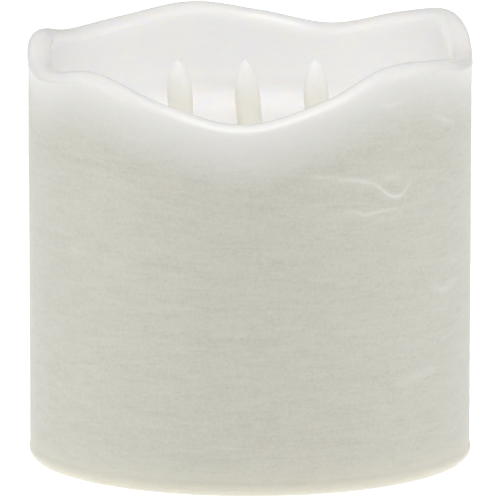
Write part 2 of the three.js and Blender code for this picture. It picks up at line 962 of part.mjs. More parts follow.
const wireEnd = LED_BOARD_TOP - BOARD_THICKNESS - GAP;
add(
  candle,
  "led_wire_positive",
  wire([
    [-3, -54.5, seat],
    [-3.5, -55, 18],
    [-10, -57, 36],
    [-22, -56, 60],
    [-29, -51, 82],
    [-31, -34, 94],
    [-31, -14, 97.5],
    [-28.5, -4, 98.6],
    [-28.5, -3, wireEnd - 0.8],
    [-28.5, -3, wireEnd],
  ]),
  "red",
);
add(
  candle,
  "led_wire_negative",
  wire([
    [4, -54.5, seat],
    [4.5, -55.5, 18],
    [-4, -58.5, 36],
    [-16, -58.5, 58],
    [-24, -54, 80],
    [-26, -36, 93],
    [-25, -14, 97],
    [-17.5, 1, 98.6],
    [-16.5, 3, wireEnd - 0.8],
    [-16.5, 3, wireEnd],
  ]),
  "black",
);
add(
  candle,
  "battery_wire_positive",
  wire([
    [-CELL_PITCH, -35, 27.6],
    [-CELL_PITCH, -37, 29],
    [-26, -42, 29],
    [-21.5, -51, 22],
    [-20, -53.8, seat + 4],
    [-20, -54, seat],
  ]),
  "red",
);
add(
  candle,
  "battery_wire_negative",
  wire([
    [CELL_PITCH, 35, 27.6],
    [CELL_PITCH, 36.5, 31],
    [26.5, 32, 36.5],
    [24, 14, 37],
    [21, -10, 37],
    [17, -29, 36],
    [12, -39, 28],
    [10, -46.5, 19],
    [9.5, -50.6, seat + 3],
    [9.5, -51, seat],
  ]),
  "black",
);

export default candle;
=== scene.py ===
"""Looks of a wide wax pillar candle with three LED flame tips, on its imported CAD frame. Metres."""

import math

import bpy
import numpy as np
from mathutils import Matrix, Vector, noise


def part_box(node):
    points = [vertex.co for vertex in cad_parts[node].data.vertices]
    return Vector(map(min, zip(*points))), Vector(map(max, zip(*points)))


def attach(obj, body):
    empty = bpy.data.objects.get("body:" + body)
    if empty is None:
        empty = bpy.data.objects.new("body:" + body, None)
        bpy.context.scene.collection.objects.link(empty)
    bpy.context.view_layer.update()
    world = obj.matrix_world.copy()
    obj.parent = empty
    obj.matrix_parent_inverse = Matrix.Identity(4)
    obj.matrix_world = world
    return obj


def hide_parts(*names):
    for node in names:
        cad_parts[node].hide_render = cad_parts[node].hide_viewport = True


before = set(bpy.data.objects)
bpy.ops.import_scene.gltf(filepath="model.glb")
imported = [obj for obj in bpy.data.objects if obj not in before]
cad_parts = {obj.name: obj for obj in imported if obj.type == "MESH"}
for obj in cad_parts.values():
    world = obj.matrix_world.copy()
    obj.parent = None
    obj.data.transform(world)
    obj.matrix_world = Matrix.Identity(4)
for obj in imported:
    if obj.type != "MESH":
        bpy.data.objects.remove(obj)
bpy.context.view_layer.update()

MM = 0.001

# Camera: in front of the candle and a little above it
CAMERA_DISTANCE = 2.2
CAMERA_ELEVATION = math.radians(9.53)
CAMERA_TARGET = Vector((0, 0, 0.0712))
CAMERA_LENS = 468
SENSOR_WIDTH = 36

# Wax body, as in the CAD
WAX_LOW, WAX_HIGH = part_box("wax_body")
WAX_RADIUS = WAX_HIGH.x
WAX_WALL = 8 * MM
WAX_BOTTOM = WAX_LOW.z
FOOT_ROUND = 3.5 * MM
LIP_RADIUS = 4 * MM
DECK_TOP = 112 * MM
DECK_UNDERSIDE = 107 * MM
DECK_FILLET = 7 * MM
CAD_SEGMENTS = 80  # round the CAD's rim

# Flames
FLAME_RADIUS = 4.3 * MM
FLAME_HEIGHT = 24 * MM
FLAME_TAPER = 13.5 * MM
FLAME_WALL = 1.2 * MM
FLAME_HOLLOW_TOP = 17 * MM
FLAME_HOLE = 4.5 * MM
FLAMES = {
    "left": (-23 * MM, math.radians(3)),
    "centre": (0.0, math.radians(4)),
    "right": (23 * MM, math.radians(3)),
}

# Soft runs of wax on the outside, as (angle in degrees, height in mm) along each crest,
# then the crest's height and width in mm.
WAX_RUNS = [
    ([(284, 108), (301, 104.5), (308, 99.3), (312, 99.4), (316, 104)], 0.42, 0.55),
    ([(305, 105.8), (312, 105.2)], 0.26, 0.45),
    ([(294, 96.6), (300, 93.9), (306, 94.6), (318, 95.4)], 0.3, 0.5),
    ([(304, 130), (308.6, 129.3), (314, 131.4)], 0.24, 0.5),
    ([(324, 124.3), (328.5, 122), (336, 119.8)], 0.24, 0.45),
    ([(322, 69), (327.5, 64.8), (333, 65.1), (340, 67)], 0.28, 0.5),
    ([(309, 35.6), (318, 37.2), (328, 39)], 0.24, 0.55),
    ([(60, 112), (72, 107), (80, 108.5)], 0.3, 0.55),
    ([(104, 74), (112, 70.5), (124, 72)], 0.26, 0.5),
    ([(140, 118), (146, 112), (153, 113)], 0.3, 0.55),
    ([(20, 88), (31, 84), (38, 85.5)], 0.26, 0.5),
]
HIGHEST_RUN = max(crest for _, crest, _ in WAX_RUNS)
RUN_SWELL = 4  # times the crest's width
CREST_SHARE, SWELL_SHARE = 0.65, 0.35  # of a run's height
# Where most of the runs are, so the mesh is finer there: degrees, and shares of the wall's height
RUNS_ANGLES = (282, 342)
RUNS_HEIGHTS = (0.66, 0.97)
WALL_SETBACK = 0.35 * MM  # leaves room for the relief inside the CAD's radius
RELIEF_FADE = 6 * MM  # the relief on the wall starts at the lip and is full this far below it
# Mesh spacing elsewhere and among the runs: shares of the wall's height, and degrees
WALL_STEPS = (0.0095, 0.0034)
TURN_STEPS = (1.4, 0.5)

# Relief of the wax floor
POOL_SWELL = 0.35 * MM
COLLAR_HEIGHT = 0.8 * MM
COLLAR_WIDTH = 1.3 * MM

# Finish of the wax, with its painted light and shade: where each zone starts and ends, measured down from
# the rim's crest
FROST_AND_GLOW_ZONE = (3 * MM, 22 * MM)
LIP_SHADE_ZONE = (0.6 * MM, 3.8 * MM)
GLOSS_ZONE = (3 * MM, 12 * MM)
BRUSHED_ZONE = (4 * MM, 14 * MM)
# and measured up from the floor
FOOT_ZONE = (3 * MM, 13 * MM)
# the floor of the cup, where it is painted darker as painted shade
POOL_SHADE_ZONE = (DECK_TOP + 1 * MM, DECK_TOP + 10 * MM)

CELL_LENGTH = 50 * MM

# Studio
FLOOR_SIZE = 14
FLOOR_GREY = (0.55, 0.55, 0.55, 1)
FLOOR_GLOW = 0.8
WHITE = (1, 1, 1, 1)
WORLD_STRENGTH = 0.38
LIGHTS_AIM = Vector((0, 0, 0.1))


# ---------- camera, light and floor ----------
def make_camera():
    data = bpy.data.cameras.new("camera")
    data.sensor_width = SENSOR_WIDTH
    data.lens = CAMERA_LENS
    data.clip_end = 20
    camera = bpy.data.objects.new("camera", data)
    bpy.context.collection.objects.link(camera)
    away = Vector((0, -math.cos(CAMERA_ELEVATION), math.sin(CAMERA_ELEVATION)))
    camera.location = CAMERA_TARGET + away * CAMERA_DISTANCE
    camera.rotation_euler = away.to_track_quat("Z", "Y").to_euler()
    bpy.context.scene.camera = camera


def make_floor():
    bpy.ops.mesh.primitive_plane_add(size=FLOOR_SIZE)
    floor = bpy.context.object
    floor.name = "floor"
    material, _, shader = new_material("floor")
    shader.inputs["Base Color"].default_value = FLOOR_GREY
    shader.inputs["Roughness"].default_value = 0.9
    shader.inputs["Emission Color"].default_value = WHITE
    shader.inputs["Emission Strength"].default_value = FLOOR_GLOW
    floor.data.materials.append(material)


def area_light(name, azimuth, elevation, distance, size, power):
    """A soft box that looks at the candle, in degrees, metres and watts.

    Azimuth 0 is in front and 90 is to the right.
    """
    data = bpy.data.lights.new(name, "AREA")
    data.shape = "RECTANGLE"
    data.size, data.size_y = size
    data.energy = power
    light = bpy.data.objects.new(name, data)
    bpy.context.collection.objects.link(light)
    turn, rise = math.radians(azimuth), math.radians(elevation)
    away = Vector(
        (
            math.sin(turn) * math.cos(rise),
            -math.cos(turn) * math.cos(rise),
            math.sin(rise),
        )
    )
    light.location = LIGHTS_AIM + away * distance
    light.rotation_euler = away.to_track_quat("Z", "Y").to_euler()


def make_lights():
    world = bpy.data.worlds.new("studio")
    world.use_nodes = True
    background = world.node_tree.nodes["Background"]
    background.inputs["Color"].default_value = WHITE
    background.inputs["Strength"].default_value = WORLD_STRENGTH
    bpy.context.scene.world = world
    # name, azimuth, elevation, distance, size, power
    area_light("strip_front_top", 0, 34, 1.5, (1.8, 0.1), 0.5)
    area_light("soft_left", -78, 18, 1.3, (0.8, 1.1), 3.9)
    area_light("soft_right", 78, 18, 1.3, (0.8, 1.1), 3.4)
    area_light("soft_front", 0, 58, 1.5, (0.8, 0.5), 8.2)
    area_light("soft_top", 0, 84, 1.4, (0.6, 0.6), 3)


# ---------- material helpers ----------
def new_material(name):
    material = bpy.data.materials.new(name)
    material.use_nodes = True
    tree = material.node_tree
    return material, tree, tree.nodes["Principled BSDF"]


def add_node(tree, kind, inputs=None, **settings):
    """A new node with its settings and inputs given. An input may be a value or another node's socket."""
    node = tree.nodes.new(kind)
    for name, value in settings.items():
        setattr(node, name, value)
    for name, value in (inputs or {}).items():
        if isinstance(value, bpy.types.NodeSocket):
            tree.links.new(value, node.inputs[name])
        else:
            node.inputs[name].default_value = value
    return node


def object_coordinates(tree, scale=(1, 1, 1)):
    place = add_node(tree, "ShaderNodeTexCoord")
    mapping = add_node(
        tree,
        "ShaderNodeMapping",
        {"Vector": place.outputs["Object"], "Scale": scale},
    )
    return mapping.outputs["Vector"]


def noise_texture(
    tree, scale, detail=3, roughness=0.5, stretch=(1, 1, 1), distortion=0.0
):
    """Noise with this many cells per metre, each cell divided by stretch along each axis."""
    return add_node(
        tree,
        "ShaderNodeTexNoise",
        {
            "Vector": object_coordinates(tree, stretch),
            "Scale": scale,
            "Detail": detail,
            "Roughness": roughness,
            "Distortion": distortion,
        },
    ).outputs["Fac"]


def ramp(tree, factor, stops):
    """A colour ramp through (position, colour) stops; a colour may be one grey value."""
    node = add_node(tree, "ShaderNodeValToRGB", {"Fac": factor})
    elements = node.color_ramp.elements
    while len(elements) < len(stops):
        elements.new(0.5)
    for element, (position, colour) in zip(elements, stops):
        element.position = position
        grey = isinstance(colour, (int, float))
        element.color = (colour, colour, colour, 1) if grey else (*colour, 1)
    return node.outputs["Color"]


def mix_colour(tree, factor, first, second, blend="MIX"):
    node = add_node(tree, "ShaderNodeMix", data_type="RGBA", blend_type=blend)
    sockets = {0: factor, 6: first, 7: second}
    for index, value in sockets.items():
        if isinstance(value, bpy.types.NodeSocket):
            tree.links.new(value, node.inputs[index])
        elif isinstance(value, tuple):
            node.inputs[index].default_value = (*value, 1)
        else:
            node.inputs[index].default_value = value
    return node.outputs[2]


def math_node(tree, operation, first, second):
    node = add_node(tree, "ShaderNodeMath", {0: first, 1: second}, operation=operation)
    return node.outputs["Value"]


def scale_range(tree, value, low, high, new_low=0.0, new_high=1.0):
    """value from low to high becomes new_low to new_high, held at both ends."""
    node = add_node(
        tree,
        "ShaderNodeMapRange",
        {
            "Value": value,
            "From Min": low,
            "From Max": high,
            "To Min": new_low,
            "To Max": new_high,
        },
    )
    return node.outputs["Result"]


def object_axis(tree, axis):
    """Place along one of the object's own axes, X, Y or Z, in metres."""
    place = object_coordinates(tree)
    return add_node(tree, "ShaderNodeSeparateXYZ", {"Vector": place}).outputs[axis]


def height_above_floor(tree):
    return object_axis(tree, "Z")


def attribute(tree, name):
    return add_node(tree, "ShaderNodeAttribute", attribute_name=name).outputs["Fac"]


def bump(tree, shader, height, distance, strength=1.0):
    """Bumps shader by a height field that goes from 0 to 1 over a distance in metres."""
    node = add_node(
        tree,
        "ShaderNodeBump",
        {"Height": height, "Distance": distance, "Strength": strength},
    )
    tree.links.new(node.outputs["Normal"], shader.inputs["Normal"])


# ---------- materials ----------
def wax_material():
    material, tree, shader = new_material("wax")
    below_rim = attribute(tree, "below_rim")
    outside = attribute(tree, "outside")

    # fine level streaks left by brushing, and soft cloudy patches
    fine = noise_texture(tree, 110, 6, 0.7, (1, 1, 8), 0.7)
    coarse = noise_texture(tree, 42, 5, 0.62, (1, 1, 6), 0.9)
    grain = noise_texture(tree, 1000, 3, 0.65)
    cloud = noise_texture(tree, 38, 2, 0.5)
    streaks = mix_colour(tree, 0.4, mix_colour(tree, 0.4, fine, coarse), grain)

    brushed = ramp(
        tree,
        streaks,
        [
            (0.34, (0.442, 0.437, 0.378)),
            (0.48, (0.540, 0.535, 0.473)),
            (0.64, (0.620, 0.614, 0.556)),
        ],
    )
    patches = ramp(
        tree, cloud, [(0.35, (0.535, 0.547, 0.489)), (0.65, (0.57, 0.553, 0.5))]
    )
    body = mix_colour(tree, 0.35, brushed, patches)

    # the melted zone under the rim is frosted and painted whiter, partly painted light that shines
    # through the thin rim; the lip and the inside are clean
    frost_and_glow = scale_range(tree, below_rim, *FROST_AND_GLOW_ZONE, 1.0, 0.0)
    frosted_and_painted_glow = mix_colour(tree, frost_and_glow, body, (0.70, 0.695, 0.675))
    # the inside is painted much lighter than the outside: clean wax, and partly painted light for the
    # light that fills the cup
    inner_cloud = mix_colour(tree, 0.5, cloud, coarse)
    clean_inside_and_painted_light = ramp(
        tree,
        inner_cloud,
        [(0.35, (0.935, 0.93, 0.922)), (0.65, (0.975, 0.97, 0.962))],
    )
    # the floor of the cup is painted darker, painted shade that tones down the strong top light on it
    pool_painted_shade = scale_range(tree, height_above_floor(tree), *POOL_SHADE_ZONE, 1.0, 0.0)
    clean_inside_and_painted_light = mix_colour(tree, pool_painted_shade, clean_inside_and_painted_light, (0.86, 0.845, 0.83))
    colour = mix_colour(tree, outside, clean_inside_and_painted_light, frosted_and_painted_glow)
    # the crests of the runs get a thin pale painted highlight
    crest = math_node(tree, "MULTIPLY", attribute(tree, "run"), 0.42)
    colour = mix_colour(tree, crest, colour, (0.80, 0.795, 0.77))
    # the lip is painted a little greyer, painted shade that stands for its darker look under the top
    # light
    lip = scale_range(tree, below_rim, *LIP_SHADE_ZONE, 1.0, 0.0)
    colour = mix_colour(tree, lip, colour, (0.77, 0.765, 0.755))
    # the foot is creamier
    foot = scale_range(tree, height_above_floor(tree), *FOOT_ZONE, 0.75, 0.0)
    colour = mix_colour(tree, foot, colour, (0.645, 0.625, 0.54))
    tree.links.new(colour, shader.inputs["Base Color"])

    worn = scale_range(tree, below_rim, *GLOSS_ZONE, 0.2, 0.44)
    dull = math_node(tree, "MULTIPLY", streaks, 0.12)
    tree.links.new(math_node(tree, "ADD", worn, dull), shader.inputs["Roughness"])
    shader.inputs["Subsurface Weight"].default_value = 1.0
    shader.inputs["Subsurface Radius"].default_value = (1.0, 0.85, 0.62)
    shader.inputs["Subsurface Scale"].default_value = 3.2 * MM
    shader.inputs["IOR"].default_value = 1.43

    fade = scale_range(tree, below_rim, *BRUSHED_ZONE)
    # the inside was never brushed, so its relief is fainter
    brushing = scale_range(tree, outside, 0.0, 1.0, 0.35, 1.0)
    relief = math_node(
        tree, "MULTIPLY", math_node(tree, "MULTIPLY", streaks, fade), brushing
    )
    bump(tree, shader, relief, 0.35 * MM, 0.8)
    return material


def flame_material():
    material, tree, shader = new_material("flame")
    height = scale_range(
        tree, height_above_floor(tree), DECK_TOP, DECK_TOP + FLAME_HEIGHT
    )
    cloud = noise_texture(tree, 150, 2)
    body = ramp(
        tree,
        height,
        [
            (0.0, (0.95, 0.915, 0.82)),
            (0.45, (0.95, 0.925, 0.835)),
            (0.70, (0.94, 0.93, 0.89)),
            (0.90, (0.90, 0.895, 0.88)),
        ],
    )
    streaky = ramp(tree, cloud, [(0.3, (0.96, 0.955, 0.94)), (0.7, 1.0)])
    colour = mix_colour(tree, 0.6, body, streaky, "MULTIPLY")
    tree.links.new(colour, shader.inputs["Base Color"])
    tree.links.new(
        scale_range(tree, cloud, 0.3, 0.7, 0.38, 0.44), shader.inputs["Roughness"]
    )
    shader.inputs["Subsurface Weight"].default_value = 0.35
    shader.inputs["Subsurface Radius"].default_value = (1.0, 0.9, 0.7)
    shader.inputs["Subsurface Scale"].default_value = 2 * MM
    shader.inputs["IOR"].default_value = 1.45
    bump(tree, shader, cloud, 0.02 * MM, 0.1)
    return material


def plastic_material(name, colour, roughness, grain=900):
    """Moulded plastic with a fine sparked grain and faint flow marks."""
    material, tree, shader = new_material(name)
    grain_noise = noise_texture(tree, grain, 3, 0.6)
    flow = noise_texture(tree, 30, 3, 0.5, (1, 3, 1))
    darker = tuple(0.9 * channel for channel in colour)
    lighter = tuple(min(1.0, 1.05 * channel) for channel in colour)
    tint = ramp(tree, flow, [(0.3, darker), (0.7, lighter)])
    speckle = ramp(tree, grain_noise, [(0.35, 0.93), (0.65, 1.0)])
    tree.links.new(
        mix_colour(tree, 0.7, tint, speckle, "MULTIPLY"), shader.inputs["Base Color"]
    )
    tree.links.new(
        scale_range(tree, grain_noise, 0.3, 0.7, roughness - 0.06, roughness + 0.08),
        shader.inputs["Roughness"],
    )
    bump(tree, shader, grain_noise, 0.03 * MM, 0.6)
    return material


def metal_material(name, colour, roughness, stretch=(1, 1, 1)):
    """Plated metal with fine scratches along the stretched axis and a faint dull bloom."""
    material, tree, shader = new_material(name)
    scratches = noise_texture(tree, 900, 4, 0.6, stretch)
    bloom = noise_texture(tree, 120, 3)
    darker = tuple(0.78 * channel for channel in colour)
    tint = ramp(tree, bloom, [(0.35, darker), (0.6, colour)])
    tree.links.new(tint, shader.inputs["Base Color"])
    tree.links.new(
        scale_range(tree, scratches, 0.3, 0.7, roughness, roughness + 0.2),
        shader.inputs["Roughness"],
    )
    shader.inputs["Metallic"].default_value = 1.0
    bump(tree, shader, scratches, 0.02 * MM, 0.5)
    return material


def board_material():
    """Solder mask over copper tracks that run across the board."""
    material, tree, shader = new_material("circuit_board")
    place = object_coordinates(tree)
    tracks = add_node(
        tree,
        "ShaderNodeTexBrick",
        {
            "Vector": place,
            "Scale": 60,
            "Mortar Size": 0.03,
            "Color1": (0, 0, 0, 1),
            "Color2": (0, 0, 0, 1),
            "Mortar": (1, 1, 1, 1),
        },
    ).outputs["Color"]
    weave = noise_texture(tree, 1400, 2)
    mask = ramp(
        tree, weave, [(0.3, (0.012, 0.10, 0.035)), (0.7, (0.02, 0.15, 0.055))]
    )
    colour = mix_colour(tree, tracks, mask, (0.06, 0.27, 0.10))
    tree.links.new(colour, shader.inputs["Base Color"])
    tree.links.new(
        scale_range(tree, weave, 0.3, 0.7, 0.25, 0.4), shader.inputs["Roughness"]
    )
    bump(tree, shader, tracks, 0.035 * MM)
    return material


def cell_material():
    """A plain grey metallic sleeve between two bright ends."""
    material, tree, shader = new_material("cell")
    bright, grey = (0.62, 0.62, 0.60), (0.34, 0.36, 0.38)
    sleeve = ramp(
        tree,
        scale_range(tree, object_axis(tree, "Z"), 0.0, CELL_LENGTH),
        [(0.0, bright), (0.055, grey), (0.972, grey), (0.985, bright)],
    )
    scuffs = noise_texture(tree, 420, 4, 0.65, (1, 1, 4))
    rubbed = ramp(tree, scuffs, [(0.35, 0.82), (0.62, 1.0)])
    tree.links.new(
        mix_colour(tree, 0.8, sleeve, rubbed, "MULTIPLY"),
        shader.inputs["Base Color"],
    )
    tree.links.new(
        scale_range(tree, scuffs, 0.3, 0.7, 0.24, 0.42), shader.inputs["Roughness"]
    )
    shader.inputs["Metallic"].default_value = 0.75
    bump(tree, shader, scuffs, 0.02 * MM, 0.5)
    return material


def rubber_material():
    material, tree, shader = new_material("foot_rubber")
    grit = noise_texture(tree, 1500, 4, 0.7)
    dust = noise_texture(tree, 240, 3)
    base = ramp(tree, grit, [(0.3, (0.10, 0.10, 0.098)), (0.7, (0.17, 0.17, 0.165))])
    dusty = scale_range(tree, dust, 0.45, 0.75, 0.0, 0.45)
    tree.links.new(
        mix_colour(tree, dusty, base, (0.30, 0.29, 0.28)), shader.inputs["Base Color"]
    )
    tree.links.new(
        scale_range(tree, grit, 0.3, 0.7, 0.7, 0.92), shader.inputs["Roughness"]
    )
    bump(tree, shader, grit, 0.05 * MM)
    return material


def lamp_material():
    """Clear epoxy with the phosphor's amber tint deep in it."""
    material, tree, shader = new_material("led")
    swirl = noise_texture(tree, 500, 3)
    tint = ramp(tree, swirl, [(0.35, (0.93, 0.80, 0.42)), (0.65, (0.96, 0.88, 0.58))])
    tree.links.new(tint, shader.inputs["Base Color"])
    tree.links.new(
        scale_range(tree, swirl, 0.3, 0.7, 0.05, 0.16), shader.inputs["Roughness"]
    )
    shader.inputs["Transmission Weight"].default_value = 0.7
    shader.inputs["IOR"].default_value = 1.5
    return material


def resistor_material():
    """Beige lacquer with colour bands along X. The three lie side by side over the same stretch."""
    material, tree, shader = new_material("resistor")
    low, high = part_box("resistor_1")
    along = object_axis(tree, "X")
    beige, brown = (0.62, 0.48, 0.28), (0.10, 0.035, 0.015)
    red, gold, lead = (0.45, 0.03, 0.02), (0.50, 0.33, 0.08), (0.60, 0.60, 0.58)
    bands = [lead, beige, brown, beige, red, beige, brown, beige, gold, beige, lead]
    starts = [0, 0.2, 0.28, 0.34, 0.41, 0.47, 0.54, 0.6, 0.69, 0.75, 0.8]
    node = add_node(
        tree,
        "ShaderNodeValToRGB",
        {"Fac": scale_range(tree, along, low.x, high.x)},
    )
    node.color_ramp.interpolation = "CONSTANT"
    elements = node.color_ramp.elements
    while len(elements) < len(bands):
        elements.new(0.5)
    for element, start, band in zip(elements, starts, bands):
        element.position = start
        element.color = (*band, 1)
    lacquer = noise_texture(tree, 900, 3)
    tree.links.new(node.outputs["Color"], shader.inputs["Base Color"])
    tree.links.new(
        scale_range(tree, lacquer, 0.3, 0.7, 0.3, 0.5), shader.inputs["Roughness"]
    )
    bump(tree, shader, lacquer, 0.05 * MM, 0.5)
    return material


# ---------- mesh helpers ----------
def make_object(name, mesh, material, place=None):
    """A smooth piece that stands in its place and rides on the candle."""
    piece = bpy.data.objects.new(name, mesh)
    bpy.context.collection.objects.link(piece)
    mesh.materials.append(material)
    mesh.shade_smooth()
    if place is not None:
        piece.matrix_world = place
    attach(piece, "candle")
    return piece


def ring_faces(rings, around):
    """Quads between each ring of points and the next, facing out when the rings go up the outside."""
    faces = []
    for ring in range(rings - 1):
        low, high = ring * around, (ring + 1) * around
        for step in range(around):
            beside = (step + 1) % around
            faces.append((low + step, low + beside, high + beside, high + step))
    return faces


def lathe_mesh(name, profile, around):
    """A solid of revolution about Z from (radius, height) points that run from axis to axis, upwards."""
    turn = np.arange(around) * 2 * math.pi / around
    points = [(0, 0, profile[0][1])]
    for radius, height in profile[1:-1]:
        points += [(radius * math.cos(a), radius * math.sin(a), height) for a in turn]
    points.append((0, 0, profile[-1][1]))
    rings = len(profile) - 2
    faces = [
        tuple(index + 1 for index in face) for face in ring_faces(rings, around)
    ]
    top, last_ring = len(points) - 1, 1 + (rings - 1) * around
    for step in range(around):
        beside = (step + 1) % around
        faces.append((0, 1 + beside, 1 + step))
        faces.append((top, last_ring + step, last_ring + beside))
    mesh = bpy.data.meshes.new(name)
    mesh.from_pydata(points, [], faces)
    mesh.update()
    return mesh


def arc(centre, radius, start, end, steps):
    """(radius, height) points of an arc in a profile, angles in degrees."""
    angles = np.radians(np.linspace(start, end, steps + 1))
    return [
        (centre[0] + radius * math.cos(a), centre[1] + radius * math.sin(a))
        for a in angles
    ]


def tube_mesh(name, path, radius, around):
    """A round bar along a path of points, a little thinner at its two ends."""
    end_share = 0.72
    path = [Vector(point) for point in path]
    ahead = [(b - a).normalized() for a, b in zip(path, path[1:])]
    tangents = [ahead[0]]
    tangents += [(a + b).normalized() for a, b in zip(ahead, ahead[1:])]
    tangents.append(ahead[-1])
    side = tangents[0].orthogonal().normalized()
    rings = []
    for index, (point, tangent) in enumerate(zip(path, tangents)):
        side = (side - tangent * side.dot(tangent)).normalized()
        other = tangent.cross(side)
        share = end_share if index in (0, len(path) - 1) else 1.0
        rings += [
            point
            + (side * math.cos(a) + other * math.sin(a)) * radius * share
            for a in np.arange(around) * 2 * math.pi / around
        ]
    faces = ring_faces(len(path), around)
    faces.append(tuple(reversed(range(around))))
    faces.append(tuple(range((len(path) - 1) * around, len(path) * around)))
    mesh = bpy.data.meshes.new(name)
    mesh.from_pydata(rings, [], faces)
    mesh.update()
    return mesh


def between(a, b, c, d, t):
    """A share t of the way from b to c on the Catmull-Rom curve through a, b, c and d."""
    return 0.5 * (
        2 * b
        + (c - a) * t
        + (2 * a - 5 * b + 4 * c - d) * t**2
        + (3 * b - a - 3 * c + d) * t**3
    )


def smooth_path(points, steps=8):
    """Catmull-Rom points through the given ones."""
    points = [Vector(point) for point in points]
    padded = [2 * points[0] - points[1], *points, 2 * points[-1] - points[-2]]
    path = []
    for a, b, c, d in zip(padded, padded[1:], padded[2:], padded[3:]):
        path += [between(a, b, c, d, step / steps) for step in range(steps)]
    path.append(points[-1])
    return path


# ---------- wax body ----------
def rim_crest(angles):
    """Height of the rim's crest at these angles, smoothly through the crest of the CAD's lip."""
    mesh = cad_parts["wax_body"].data
    points = np.array([vertex.co for vertex in mesh.vertices])
    radius = np.hypot(points[:, 0], points[:, 1])
    on_lip = np.abs(radius - (WAX_RADIUS - LIP_RADIUS)) < 0.1 * MM
    turn = np.arctan2(points[on_lip, 1], points[on_lip, 0]) / (2 * math.pi)
    known = np.zeros(CAD_SEGMENTS)
    segment = np.round(turn * CAD_SEGMENTS).astype(int) % CAD_SEGMENTS
    np.maximum.at(known, segment, points[on_lip, 2])
    place = np.asarray(angles) / (2 * math.pi) * CAD_SEGMENTS
    cell = np.floor(place).astype(int)
    around = (known[(cell + shift) % CAD_SEGMENTS] for shift in (-1, 0, 1, 2))
    return np.minimum(between(*around, place - cell), WAX_HIGH.z)


def run_relief(angle, height):
    """How far the wax runs stand out: a thin crest that fades at both ends, on a soft swell."""
    relief = np.zeros_like(height)
    for points, crest, width in WAX_RUNS:
        line = smooth_path(
            [(math.radians(a) * WAX_RADIUS, z * MM, 0) for a, z in points]
        )
        across = np.full(height.shape, 1.0)
        along = np.zeros_like(height)
        for step, (start, end) in enumerate(zip(line, line[1:])):
            run = end - start
            dx = angle * WAX_RADIUS - start.x
            dz = height - start.y
            t = np.clip((dx * run.x + dz * run.y) / run.length_squared, 0, 1)
            distance = np.hypot(dx - t * run.x, dz - t * run.y)
            nearer = distance < across
            across[nearer] = distance[nearer]
            along[nearer] = (step + t[nearer]) / (len(line) - 1)
        thin = np.exp(-((across / (width * MM)) ** 2))
        swell = np.exp(-((across / (RUN_SWELL * width * MM)) ** 2))
        taper = np.sin(math.pi * along) ** 0.7
        ridge = crest * MM * taper * (CREST_SHARE * thin + SWELL_SHARE * swell)
        relief = np.maximum(relief, ridge)
    return relief


def brushed_relief(points):
    """Shallow level brush marks and a slow hand-cast waviness, at points on the outside.

    The factors of x, y and z are noise cells per metre, and those in the sum are depths in mm.
    """
    relief = []
    for x, y, z in points:
        wave = noise.noise(Vector((x * 18, y * 18, z * 22)))
        tilt = 4 * MM * noise.noise(Vector((x * 14, y * 14, 7 + z * 9)))
        stroke = noise.noise(Vector((x * 22, y * 22, (z + tilt) * 420)))
        hair = noise.noise(Vector((x * 34, y * 34, 3 + (z + tilt) * 900)))
        relief.append(0.12 * wave + 0.05 * stroke + 0.03 * hair)
    return np.array(relief) * MM


def spaced(low, high, dense, coarse_step, fine_step):
    """Values from low to high, closer together inside the dense interval."""
    stretch = 1.0
    stops = [low, *dense, high]
    steps = [coarse_step, fine_step, coarse_step]
    values = [low]
    for start, end, step in zip(stops, stops[1:], steps):
        count = max(0, math.ceil((end - start) / (step * stretch)))
        values += list(np.linspace(start, end, count + 1)[1:])
    return values


def wax_rings():
    """The wax body's rings, as (radius, height, share of the lip centre's height, is outside)."""
    inner = WAX_RADIUS - WAX_WALL
    low = WAX_BOTTOM + FOOT_ROUND
    rings = [(inner * t, DECK_UNDERSIDE, 0, 0) for t in (0.02, 0.4, 0.8, 1.0)]
    rings += [(inner, z, 0, 0) for z in np.linspace(100 * MM, WAX_BOTTOM, 6)]
    foot_centre = (WAX_RADIUS - FOOT_ROUND, low)
    rings += [(r, z, 0, 1) for r, z in arc(foot_centre, FOOT_ROUND, -90, 0, 8)]
    rings += [
        (WAX_RADIUS, low * (1 - t), t, 1)
        for t in spaced(0, 1, RUNS_HEIGHTS, *WALL_STEPS)[1:-1]
    ]
    lip = arc((WAX_RADIUS - LIP_RADIUS, 0), LIP_RADIUS, 0, 180, 18)
    rings += [(r, z, 1, 1 if r > WAX_RADIUS - LIP_RADIUS else 0) for r, z in lip]
    top_of_fillet = DECK_TOP + DECK_FILLET
    rings += [
        (inner, top_of_fillet * t, 1 - t, 0) for t in np.linspace(0, 1, 14)[1:-1]
    ]
    fillet_centre = (inner - DECK_FILLET, top_of_fillet)
    rings += [(r, z, 0, 0) for r, z in arc(fillet_centre, DECK_FILLET, 0, -90, 9)]
    deck = np.linspace(inner - DECK_FILLET, 0.4 * MM, 30)[1:]
    rings += [(r, DECK_TOP, 0, 0) for r in deck]
    return rings


def deck_relief(x, y):
    """The pool of set wax: slow swells, and a small collar of wax around each flame."""
    swell = np.array(
        [noise.noise(Vector((a * 30, b * 30, 5))) for a, b in zip(x, y)]
    )
    relief = POOL_SWELL * swell
    for flame_x, _ in FLAMES.values():
        away = np.hypot(x - flame_x, y) - FLAME_HOLE
        relief += COLLAR_HEIGHT * np.exp(-np.clip(away, 0, None) / COLLAR_WIDTH)
    return relief


